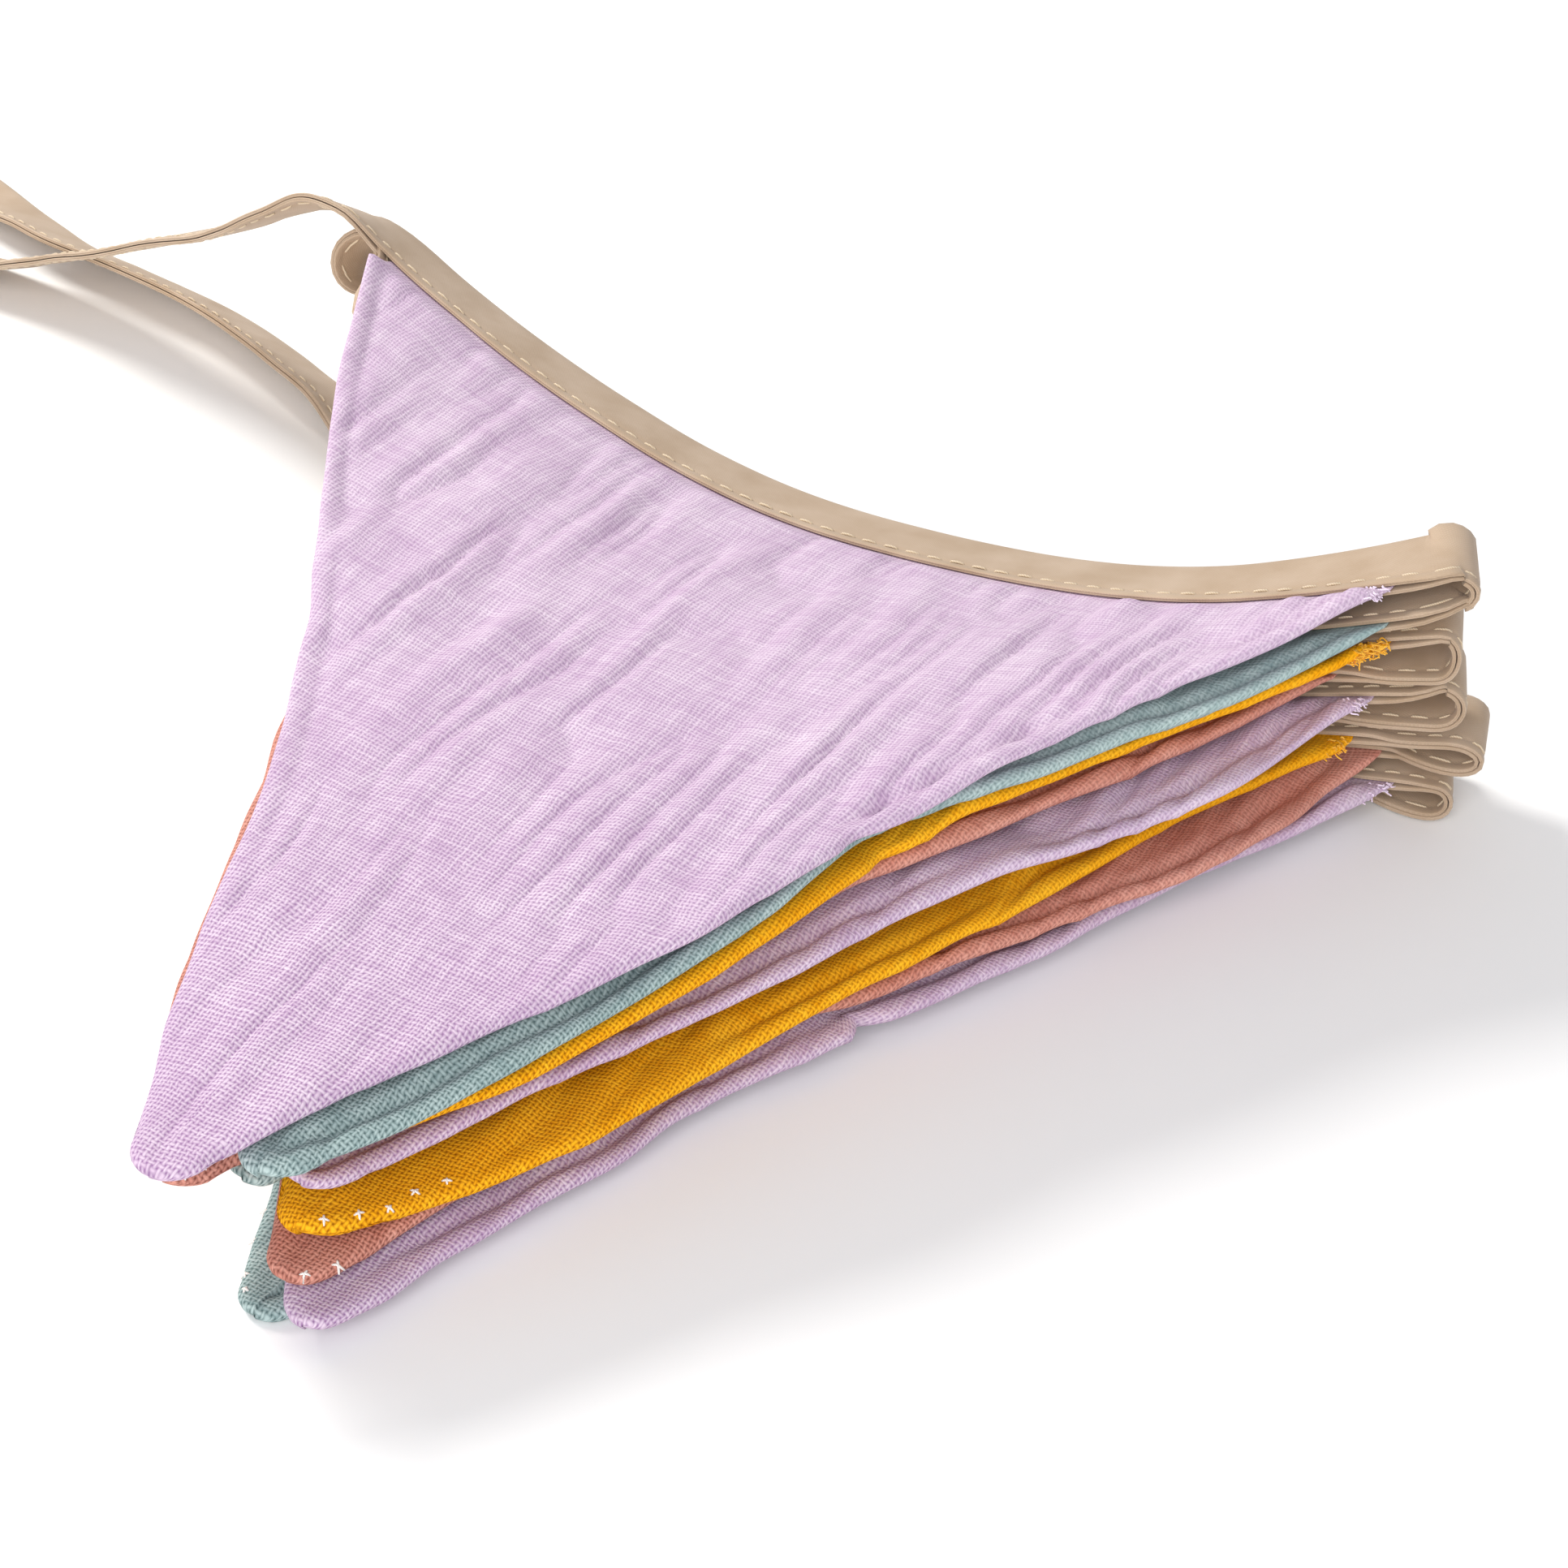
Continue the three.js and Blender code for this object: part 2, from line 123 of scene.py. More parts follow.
def pile_top(x, y):
    """Height of the stack's top at places measured from the tape line."""
    p = PILE
    a = -y / p["reach"]
    l = (1 - a) / 2 - x / p["base"]
    r = (1 - a) / 2 + x / p["base"]
    tape_pull = 2 * p["tape_side"] - (p["left"] + p["right"]) / 2
    front_pull = 2 * p["front_side"] - (p["right"] + p["tip"]) / 2
    back_pull = 2 * p["back_side"] - (p["left"] + p["tip"]) / 2
    even = (p["left"] + p["right"] + p["tip"] + 2 * (tape_pull + front_pull + back_pull)) / 9
    patch = (p["left"] * l * l + p["right"] * r * r + p["tip"] * a * a
             + 2 * (tape_pull * l * r + front_pull * r * a + back_pull * l * a)
             + 27 * (p["middle"] - even) * l * r * a
             - (TAPE_DIP["left"] * l + TAPE_DIP["right"] * r) * np.maximum(0, y))
    wave = np.sin((x + RIPPLE["slant"] * y) / RIPPLE["length"] * 2 * math.pi)
    return patch + RIPPLE["height"] * wave


def layer_height(layer, x, y):
    share = (LAYERS - 1 - layer) / (LAYERS - 1)
    return CLOTH_HALF + (pile_top(x, y) - CLOTH_HALF) * share


def on_flag(layer, across, down):
    """Places on a flag's middle surface: across the tape line, and down from it towards the tip."""
    flag = FLAGS[layer]
    c, s = math.cos(math.radians(flag["turn"])), math.sin(math.radians(flag["turn"]))
    fade = np.minimum(1, (1 - down / flag["tall"]) ** 2)
    sagged = down + TAPE_BOW * (1 - (across / FLAG_HALF_WIDTH) ** 2) * fade
    x = flag["x"] + c * across + s * sagged
    y = flag["y"] + s * across - c * sagged
    return np.stack([x, y + TAPE_LINE_Y, layer_height(layer, x, y)], -1)


def in_tape(layer, across, up):
    """Places inside the tape, which lies straight across its width."""
    low, high = on_flag(layer, across, 0 * across), on_flag(layer, across, 0 * across - TAPE_WIDTH)
    return low + (high - low) * (up / TAPE_WIDTH)[..., None]


def swell_at(swells, share):
    """How far an edge swells out, from swells at even places between the tape and the tip."""
    spaces = len(swells) + 1
    return sum(size * np.exp(-(((share - (i + 1) / spaces) / SWELL_SPREAD) ** 2))
               for i, size in enumerate(swells))


# ---- small tools ----

NOISE_CELLS = 64    # the noise repeats after as many units


def soft_noise(x, y, seed):
    """Smooth noise from -1 to 1, about one bump for each unit."""
    grid = np.random.default_rng(seed).uniform(-1, 1, (NOISE_CELLS, NOISE_CELLS))
    xi, yi = np.floor(x).astype(int), np.floor(y).astype(int)
    fx, fy = x - xi, y - yi
    fx, fy = fx * fx * (3 - 2 * fx), fy * fy * (3 - 2 * fy)
    at = lambda i, j: grid[(xi + i) % NOISE_CELLS, (yi + j) % NOISE_CELLS]
    return (at(0, 0) * (1 - fx) + at(1, 0) * fx) * (1 - fy) + (at(0, 1) * (1 - fx) + at(1, 1) * fx) * fy


def unit(v):
    return v / np.maximum(np.linalg.norm(v, axis=-1, keepdims=True), 1e-9)


def make_mesh(name, points_mm, faces, material, cloth_mm=None):
    """One smooth-shaded mesh object from points in millimetres, with its cloth coordinates if it has them."""
    mesh = bpy.data.meshes.new(name)
    mesh.from_pydata((np.asarray(points_mm) * MM).tolist(), [], faces)
    mesh.polygons.foreach_set("use_smooth", [True] * len(mesh.polygons))
    if cloth_mm is not None:
        layer = mesh.attributes.new("cloth_mm", "FLOAT_VECTOR", "POINT")
        flat = np.zeros((len(points_mm), 3))
        flat[:, :cloth_mm.shape[1]] = cloth_mm
        layer.data.foreach_set("vector", flat.ravel())
    mesh.materials.append(material)
    mesh.update()
    obj = bpy.data.objects.new(name, mesh)
    bpy.context.scene.collection.objects.link(obj)
    return obj


def ring_faces(rings, around, close_ends=True):
    """Quads between closed rings of points, and a face on each end."""
    i = np.arange(rings - 1)[:, None] * around
    j = np.arange(around)[None, :]
    k = (j + 1) % around
    quads = np.stack([i + j, i + around + j, i + around + k, i + k], -1).reshape(-1, 4).tolist()
    if close_ends:
        last = (rings - 1) * around
        quads.append(list(range(around)))
        quads.append([last + n for n in range(around)][::-1])
    return quads


def put(obj, node=None):
    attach(obj, "root")
    if node:
        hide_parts(node)
    return obj


# ---- materials ----

def linear(code):
    """An sRGB hex colour as linear RGBA."""
    parts = [int(code[i:i + 2], 16) / 255 for i in (1, 3, 5)]
    return [c / 12.92 if c <= 0.04045 else ((c + 0.055) / 1.055) ** 2.4 for c in parts] + [1.0]


def add(tree, kind, inputs=None, **settings):
    """Adds a node with its settings; each input is a value or the socket that feeds it."""
    made = tree.nodes.new("ShaderNode" + kind)
    for name, value in settings.items():
        setattr(made, name, value)
    for socket, value in (inputs or {}).items():
        if isinstance(value, bpy.types.NodeSocket):
            tree.links.new(value, made.inputs[socket])
        else:
            made.inputs[socket].default_value = value
    return made


def new_material(name):
    material = bpy.data.materials.new(name)
    material.use_nodes = True
    tree = material.node_tree
    tree.nodes.clear()
    shader = add(tree, "BsdfPrincipled")
    add(tree, "OutputMaterial", {"Surface": shader.outputs[0]})
    return material, tree, shader


THREAD_PITCH = 0.6   # mm; at the flags' tips the photo's threads lie about 0.7 mm apart


def double_gauze(name, light, body, gap):
    """Cotton double gauze, plain-woven loosely and washed until it crinkles: matt and soft, with painted
    shade down the sides of its threads and in the tiny gaps between them, where the under layer shows."""
    material, tree, shader = new_material(name)
    cloth = add(tree, "Attribute", attribute_name="cloth_mm").outputs["Vector"]
    place = cloth
    for scale, reach in ((0.11, 2.0), (1.1, 0.34)):   # the threads wander, and each lies a little unevenly
        drift = add(tree, "TexNoise", {"Vector": cloth, "Scale": scale, "Detail": 2.0}).outputs["Color"]
        drift = add(tree, "VectorMath", {0: drift, 1: (0.5, 0.5, 0.5)}, operation="SUBTRACT").outputs[0]
        place = add(tree, "VectorMath", {0: drift, 1: (reach, reach, 0), 2: place},
                    operation="MULTIPLY_ADD").outputs[0]
    # one sine across each set of threads: its size is a thread's round back, the sign of both
    # together says which thread passes over
    turned = add(tree, "VectorMath", {0: place, "Scale": math.pi / THREAD_PITCH}, operation="SCALE")
    sines = add(tree, "VectorMath", {0: turned.outputs[0]}, operation="SINE")
    waves = add(tree, "SeparateXYZ", {0: sines.outputs[0]})
    over = add(tree, "Math", {0: waves.outputs[0], 1: waves.outputs[1]}, operation="MULTIPLY").outputs[0]
    backs = []
    for axis, rise in ((0, 0.3), (1, -0.3)):
        back = add(tree, "Math", {0: waves.outputs[axis]}, operation="ABSOLUTE").outputs[0]
        back = add(tree, "Math", {0: back, 1: 1.3}, operation="POWER").outputs[0]
        lift = add(tree, "Math", {0: over, 1: rise, 2: 0.7}, operation="MULTIPLY_ADD").outputs[0]
        backs.append(add(tree, "Math", {0: back, 1: lift}, operation="MULTIPLY").outputs[0])
    weave = add(tree, "Math", {0: backs[0], 1: backs[1]}, operation="MAXIMUM").outputs[0]
    # uneven spun threads: long thin streaks along each direction
    slubs = []
    for stretch in ((1.7, 0.16, 1), (0.16, 1.7, 1)):
        streak = add(tree, "VectorMath", {0: place, 1: stretch}, operation="MULTIPLY").outputs[0]
        slubs.append(add(tree, "TexNoise", {"Vector": streak, "Scale": 1.0, "Detail": 2.0}).outputs["Fac"])
    uneven = add(tree, "Math", {0: slubs[0], 1: slubs[1]}, operation="ADD").outputs[0]
    patches = add(tree, "TexNoise", {"Vector": cloth, "Scale": 0.06, "Detail": 3.0}).outputs["Fac"]
    tone = add(tree, "Math", {0: uneven, 1: patches}, operation="ADD").outputs[0]
    tone = add(tree, "MapRange", {"Value": tone, "From Min": 1.05, "From Max": 1.95}).outputs[0]
    threads = add(tree, "Mix", {"Factor": tone, 6: linear(body), 7: linear(light)},
                  data_type="RGBA").outputs[2]
    closed = add(tree, "MapRange", {"Value": uneven, "From Min": 0.7, "From Max": 1.3, "To Min": 1.0,
                                    "To Max": 0.72}).outputs[0]
    # the weave lies closer where the crinkles start, at the tape, and opens towards the tip
    tight = add(tree, "SeparateXYZ", {0: cloth}).outputs[2]
    # share of the thread colour: it falls down each thread's sides and into the gaps, where the gap colour
    # paints the shade of the threads and of the under layer
    thread_share_over_gap_shade = add(tree, "MapRange", {"Value": weave, "From Min": 0.05, "From Max": closed,
                                    "To Min": tight}).outputs[0]
    colour = add(tree, "Mix", {"Factor": thread_share_over_gap_shade, 6: linear(gap), 7: threads}, data_type="RGBA").outputs[2]
    bump = add(tree, "Bump", {"Height": weave, "Strength": 0.5, "Distance": 0.16 * MM}).outputs[0]
    tree.links.new(colour, shader.inputs["Base Color"])
    tree.links.new(bump, shader.inputs["Normal"])
    shader.inputs["Roughness"].default_value = 0.92
    shader.inputs["Specular IOR Level"].default_value = 0.12
    shader.inputs["Sheen Weight"].default_value = 0.1
    shader.inputs["Sheen Roughness"].default_value = 0.5
    shader.inputs["Sheen Tint"].default_value = linear(light)
    return material


def pressed_tape(name, light, body, shade):
    """Cotton bias tape, ironed flat: smooth and matt, its fine weave running at 45 degrees."""
    material, tree, shader = new_material(name)
    cloth = add(tree, "Attribute", attribute_name="cloth_mm").outputs["Vector"]
    turned = add(tree, "Mapping", {"Vector": cloth, "Rotation": (0, 0, math.radians(45))}).outputs[0]
    # its threads lie about every 0.2 mm, drawn a little coarser, at 0.29 mm, so that they show
    ribs = add(tree, "TexWave", {"Vector": turned, "Scale": 2.2 / 2, "Distortion": 0.6, "Detail": 1.0},
               bands_direction="X").outputs["Fac"]
    cross = add(tree, "TexWave", {"Vector": turned, "Scale": 2.2 / 2, "Distortion": 0.6, "Detail": 1.0},
                bands_direction="Y").outputs["Fac"]
    weave = add(tree, "Math", {0: ribs, 1: cross}, operation="MULTIPLY").outputs[0]
    patches = add(tree, "TexNoise", {"Vector": cloth, "Scale": 0.12, "Detail": 4.0}).outputs["Fac"]
    tone = add(tree, "MapRange", {"Value": patches, "From Min": 0.35, "From Max": 0.65}).outputs[0]
    threads = add(tree, "Mix", {"Factor": tone, 6: linear(body), 7: linear(light)},
                  data_type="RGBA").outputs[2]
    darker = add(tree, "MapRange", {"Value": weave, "To Min": 0.22, "To Max": 0.0}).outputs[0]
    colour = add(tree, "Mix", {"Factor": darker, 6: threads, 7: linear(shade)}, data_type="RGBA").outputs[2]
    bump = add(tree, "Bump", {"Height": weave, "Strength": 0.25, "Distance": 0.06 * MM})
    tree.links.new(colour, shader.inputs["Base Color"])
    tree.links.new(bump.outputs[0], shader.inputs["Normal"])
    shader.inputs["Roughness"].default_value = 0.78
    shader.inputs["Specular IOR Level"].default_value = 0.3
    shader.inputs["Sheen Weight"].default_value = 0.12
    return material


def spun_thread(name, light, shade, twist_mm):
    """Spun cotton or polyester sewing thread: pale, a little shiny, with the twist of its plies."""
    material, tree, shader = new_material(name)
    place = add(tree, "TexCoord").outputs["Object"]
    plies = add(tree, "TexWave", {"Vector": place, "Scale": 1 / (2 * twist_mm * MM), "Distortion": 1.5},
                bands_direction="DIAGONAL").outputs["Fac"]
    colour = add(tree, "Mix", {"Factor": plies, 6: linear(shade), 7: linear(light)},
                 data_type="RGBA").outputs[2]
    bump = add(tree, "Bump", {"Height": plies, "Strength": 0.3, "Distance": 0.05 * MM})
    tree.links.new(colour, shader.inputs["Base Color"])
    tree.links.new(bump.outputs[0], shader.inputs["Normal"])
    shader.inputs["Roughness"].default_value = 0.6
    shader.inputs["Sheen Weight"].default_value = 0.2
    return material


# each gauze: lighter and body thread tones, which vary at random, and the painted shade seen in the gaps
# between its threads
GAUZE = {
    "lilac": double_gauze("lilac_double_gauze", "#DECDDC", "#C8AEC7", "#8C6693"),
    "teal": double_gauze("teal_double_gauze", "#B9CAC8", "#93A9A9", "#4A6061"),
    "mustard": double_gauze("mustard_double_gauze", "#FFC02A", "#F8A708", "#965300"),
    "rust": double_gauze("rust_double_gauze", "#DDA292", "#C88474", "#79443A"),
}
TAPE_COTTON = pressed_tape("tan_pressed_cotton_tape", "#C3AD96", "#B59D83", "#8F765E")
CREAM_THREAD = spun_thread("cream_sewing_thread", "#DCCAAF", "#C3AE90", 0.35)
WHITE_THREAD = spun_thread("white_tacking_thread", "#F6F2EE", "#DDD6D0", 0.3)
FRAY = {colour: spun_thread(f"{colour}_frayed_cotton", *codes, 0.25) for colour, codes in {
    "lilac": ("#F4E8F4", "#DCC4E0"), "mustard": ("#FFC93C", "#EDA514")}.items()}


# ---- the flags ----

# Half thickness of a flag from its edge inwards, in mm: a soft rolled edge, then the cloth
EDGE_PROFILE = [(0, 0), (0.1, 0.36), (0.3, 0.62), (0.7, 0.85), (1.5, 1.0), (2.6, 1.0), (4.2, 0.93),
                (6, 0.9), (200, 0.9)]
EDGE_STEPS = (0.0, 0.1, 0.3, 0.6, 1.0, 1.5, 2.1, 2.6, 3.0, 3.4, 3.9, 4.6, 5.6)   # columns beside each edge
# a crease beside the seam allowance inside, here and there; fainter on the back edges
SEAM_CREASE = dict(inset=3.3, width=0.9, depth=1.05, at_back=0.25, shows=(-0.6, 0.1))
# ridges are round with narrow valleys between; they grow softer between two distances from the tape
RIDGE = dict(height=0.88, rise=1.7, roundness=0.8, sunk=0.75, strength=0.85, fade=0.5, fading=(55, 125))
RIDGES_AT_EDGE = 0.45
EDGE_REACH = dict(ridges=3.0, scallop=6.0, wave=13.0)    # how far in from the edge each of these goes
OUT_OF_TAPE = (-0.5, 3.2)    # where the cloth lies flat in the tape, and where it is free
# share of each gap in the weave that is closed at the tape, and the part of the way where none is
WEAVE_TIGHT = dict(share=0.55, until=0.9)
NEXT_CLOTH = (37.0, 53.0)    # each flag is cut from another place of the cloth, in mm

# the cloth's unevenness: its size in mm, or a share, how long it is across and down the flag, or
# along an edge, and its seed, which goes up by one for each flag
UNEVEN = {
    "drift": (2.8, 22, 26, 70),
    "wiggle": (0.6, 8, 9, 75),
    "ridges": (1.0, 3.8, 26, 10),
    "fine": (0.12, 2.1, 13, 30),
    "swell": (0.35, 17, 40, 50),
    "patches": (0.5, 18, 18, 90),
    "crease": (1.0, 24, 1, 5),
    "inset": (0.5, 12, 1, 6),
    "wave": (0.55, 15, 1, 120),
    "scallop": (0.4, 8, 1, 110),
}

# a flag's rows: in the hem, the first below the tape line, and round the tip, in degrees
HEM_ROWS = (-HEM_DEPTH, -6.0, -3.0, -0.5)
FIRST_ROW = 0.5
TIP_ANGLES = (38, 46, 54, 61, 67, 72, 77, 81, 84.5, 87.5)

# Tucks in a front edge: flag, how far down the edge, depth and width
TUCKS = [(9, 71.3, 1.7, 1.5), (9, 73.6, -0.7, 1.2), (3, 60.0, 1.0, 2.0), (1, 66.0, 1.0, 2.5)]


def tip_of(flag):
    """The slope of a flag's sides, how far down its round tip's centre is, and where the round begins."""
    slope = math.atan2(FLAG_HALF_WIDTH, flag["tall"])
    centre = flag["tall"] - TIP_RADIUS / math.sin(slope)
    return slope, centre, centre + TIP_RADIUS * math.sin(slope)


def flag_outline(flag, down):
    """Left and right ends of a flag's rows, with the round tip."""
    _, tip_centre, straight_end = tip_of(flag)
    straight = FLAG_HALF_WIDTH * (1 - down / flag["tall"])
    round_half = np.sqrt(np.maximum(TIP_RADIUS ** 2 - (down - tip_centre) ** 2, 0))
    half = np.where(down > straight_end, round_half, straight)
    share = down / flag["tall"]
    fade = np.minimum(1, half / TIP_RADIUS)
    corner = TOP_CORNER["bulge"] * np.exp(-(down / TOP_CORNER["length"]) ** 2) if flag is FLAGS[0] else 0
    corner = corner * smoothstep(*TOP_CORNER["starts"], down)
    left = -half * flag["left"] / FLAG_HALF_WIDTH - (swell_at(flag["back"], share) + corner) * fade
    right = half * flag["right"] / FLAG_HALF_WIDTH + swell_at(flag["front"], share) * fade
    return left, right


def uneven(name, layer, across, down=0.0):
    """One kind of unevenness of a flag's cloth, from minus its size to its size."""
    size, wide, tall, seed = UNEVEN[name]
    return size * soft_noise(across / wide, down / tall, seed + layer)


def crinkles(layer, across, down):
    """Soft uneven ridges of washed gauze with narrow valleys between, from the tape towards the tip."""
    s = across + uneven("drift", layer, across, down) + uneven("wiggle", layer, across, down)
    ridges = RIDGE["rise"] * np.abs(uneven("ridges", layer, s, down)) ** RIDGE["roundness"] - RIDGE["sunk"]
    strength = RIDGE["strength"] + uneven("patches", layer, across, down)
    strength = strength * (1 - RIDGE["fade"] * smoothstep(*RIDGE["fading"], down))
    rough = RIDGE["height"] * ridges + uneven("fine", layer, s, down)
    return strength * rough + uneven("swell", layer, s, down)


def cloth_shape(layer, across, down):
    """Places on the middle of a flag's crinkled cloth, and its half thickness there."""
    flag = FLAGS[layer]
    slope, tip_centre, _ = tip_of(flag)
    left, right = flag_outline(flag, np.maximum(down, FIRST_ROW))
    from_sides = np.minimum(across - left, right - across) * math.cos(slope)
    from_tip = TIP_RADIUS - np.hypot(across - (left + right) / 2, np.maximum(down - tip_centre, 0))
    near_tip = smoothstep(tip_centre - 2, tip_centre + 2, down)
    edge = np.maximum(0, from_sides * (1 - near_tip) + np.minimum(from_sides, from_tip) * near_tip)
    front = across > (left + right) / 2
    along = np.where(front, 1, -1) * down
    out_of_tape = smoothstep(*OUT_OF_TAPE, down)

    thick = np.interp(edge, *np.array(EDGE_PROFILE).T)
    thick = np.minimum(thick, HEM_HALF + (thick - HEM_HALF) * out_of_tape)
    shows = smoothstep(*SEAM_CREASE["shows"], uneven("crease", layer, along))
    shows = shows * np.where(front, 1, SEAM_CREASE["at_back"])
    inset = SEAM_CREASE["inset"] + uneven("inset", layer, along)
    crease = SEAM_CREASE["depth"] * shows * np.exp(-((edge - inset) / SEAM_CREASE["width"]) ** 2)

    inside = smoothstep(0, EDGE_REACH["ridges"], edge)
    bend = crinkles(layer, across, down) * (RIDGES_AT_EDGE + (1 - RIDGES_AT_EDGE) * inside) - crease
    bend = (bend + uneven("wave", layer, along) * smoothstep(EDGE_REACH["wave"], 0, edge)) * out_of_tape

    spread = uneven("scallop", layer, along, 3)
    for number, at, depth, width in TUCKS:
        if number == layer + 1:
            spread = spread - np.where(front, depth, 0) * np.exp(-((down - at) / width) ** 2)
    # it fades inwards, in the tape and where the tip is narrow
    spread = spread * smoothstep(EDGE_REACH["scallop"], 0, edge) * out_of_tape
    spread = spread * smoothstep(2, 9, right - left)
    middle = on_flag(layer, across + np.where(front, spread, -spread), down)
    middle = np.where((down < 0)[..., None], in_tape(layer, across, np.maximum(0, -down)), middle)
    middle[..., 2] += bend
    return middle, thick


def flag_rows(flag, step):
    """Distances down from the tape line, closer together at the rounded tip."""
    _, tip_centre, straight_end = tip_of(flag)
    body = np.linspace(FIRST_ROW, straight_end, int(straight_end / step))
    arc = tip_centre + TIP_RADIUS * np.sin(np.radians(TIP_ANGLES))
    return np.concatenate([HEM_ROWS, body, arc[arc > straight_end + 0.2]])


def across_cloth(across, thick, upper):
    """Cloth coordinates round a flag's section: on from the middle of its upper face, over both edges."""
    def run(columns, heights):
        steps = np.hypot(np.diff(columns, axis=1), np.diff(heights, axis=1))
        return np.concatenate([np.zeros((len(columns), 1)), np.cumsum(steps, axis=1)], 1)
    over = run(across[:, :upper], thick[:, :upper])
    middle = upper // 2
    over = over - over[:, middle:middle + 1] + across[:, middle:middle + 1]
    ring = list(range(upper - 1, across.shape[1])) + [0]
    under = run(across[:, ring], -thick[:, ring])
    half = under.shape[1] // 2
    from_right = over[:, -1:] + under[:, 1:half]
    from_left = over[:, :1] - (under[:, -1:] - under[:, half:-1])
    return np.concatenate([over, from_right, from_left], 1)


def make_flag(layer, step):
    """One flag as a closed piece of cloth; step is the size of its faces in mm."""
    flag = FLAGS[layer]
    down = flag_rows(flag, step)
    top_middle = int(2 * FLAG_HALF_WIDTH / step)
    low_middle = top_middle // 3
    left, right = (side[:, None] for side in flag_outline(flag, np.maximum(down, FIRST_ROW)))
    width = right - left
    # columns: steps beside each edge, even ones between, narrowed where the flag is narrow
    shrink = np.minimum(1, width / (3 * EDGE_STEPS[-1]))
    beside = np.array(EDGE_STEPS)[None, :] * shrink

    def columns(count):
        inner = np.linspace(0, 1, count + 2)[None, 1:-1]
        start, end = beside[:, -1:], width - beside[:, -1:]
        return left + np.concatenate([beside, start + (end - start) * inner, width - beside[:, ::-1]], 1)

    upper, lower = columns(top_middle), columns(low_middle)[:, ::-1][:, 1:-1]
    across = np.concatenate([upper, lower], 1)
    side = np.where(np.arange(across.shape[1]) < upper.shape[1], 1, -1)
    downs = np.repeat(down[:, None], across.shape[1], 1)
    middle, thick = cloth_shape(layer, across, downs)
    middle[..., 2] += side * thick
    middle[..., 2] = np.maximum(middle[..., 2], LOWEST_CLOTH)
    tight = WEAVE_TIGHT["share"] * (1 - smoothstep(0, WEAVE_TIGHT["until"], downs / flag["tall"]))
    round_section = across_cloth(across, thick, upper.shape[1])
    cloth = np.stack([round_section + layer * NEXT_CLOTH[0], downs + layer * NEXT_CLOTH[1], tight], -1)
    obj = make_mesh(f"{flag['colour']}_flag_{layer + 1}", middle.reshape(-1, 3),
                    ring_faces(len(down), across.shape[1]), GAUZE[flag["colour"]], cloth.reshape(-1, 3))
    return put(obj, f"flag_{layer + 1:02d}_{flag['colour']}")


TOP_STEP, INNER_STEP = 0.8, 1.4   # size of the faces on the top flag and on those under it, in mm
flag_pieces = [make_flag(layer, TOP_STEP if layer == 0 else INNER_STEP) for layer in range(LAYERS)]


# ---- the tape ----

TAPE_STEP = dict(bend=0.8, flag=1.8)    # between stations in the turns and ties, and along a flag
STATIONS = dict(tie=90, flag=110)    # places on a tie and on a flag, before the path is spaced anew
LEG_SHARES, BEND_SHARES = np.linspace(0.12, 0.9, 7), np.linspace(0, 1, 22)
TAPE_OPEN = dict(half=0.9, gap=0.28)
TAPE_SHUT = dict(half=0.6, gap=0.05)


def smooth_rows(rows, count):
    """Places on a smooth curve through a table's rows."""
    rows = np.array(rows, float)
    rows = np.vstack([2 * rows[0] - rows[1], rows, 2 * rows[-1] - rows[-2]])
    at = np.linspace(0, len(rows) - 3 - 1e-6, count)
    i = at.astype(int)
    t = (at - i)[:, None]
    a, b, c, d = rows[i], rows[i + 1], rows[i + 2], rows[i + 3]
    return 0.5 * (2 * b + (c - a) * t + (2 * a - 5 * b + 4 * c - d) * t ** 2
                  + (3 * b - a - 3 * c + d) * t ** 3)


def tie_stations(rows):
    """Middle, way across and opening at places along a tie, which is folded shut."""
    places = smooth_rows(rows, STATIONS["tie"])
    tilt = np.radians(places[:, 3])
    middle = places[:, :3] + [0, TAPE_LINE_Y, 0]
    ahead = np.gradient(middle, axis=0)
    ahead[:, 2] = 0
    ahead = unit(ahead)
    way = np.stack([ahead[:, 1] * np.cos(tilt), -ahead[:, 0] * np.cos(tilt), -np.sin(tilt)], -1)
    return middle, way, np.zeros(len(middle))


def flag_stations(layer, towards):
    """The same along a flag, where the tape is open for the hem; towards is 1 or -1."""
    flag = FLAGS[layer]
    ends = -flag["left"] - OPEN_PAST_CORNER, flag["right"] + OPEN_PAST_CORNER
    across = np.linspace(*ends, STATIONS["flag"])[::towards]
    low, high = in_tape(layer, across, 0 * across), in_tape(layer, across, 0 * across + TAPE_WIDTH)
    return (low + high) / 2, unit(high - low), np.ones(len(across))


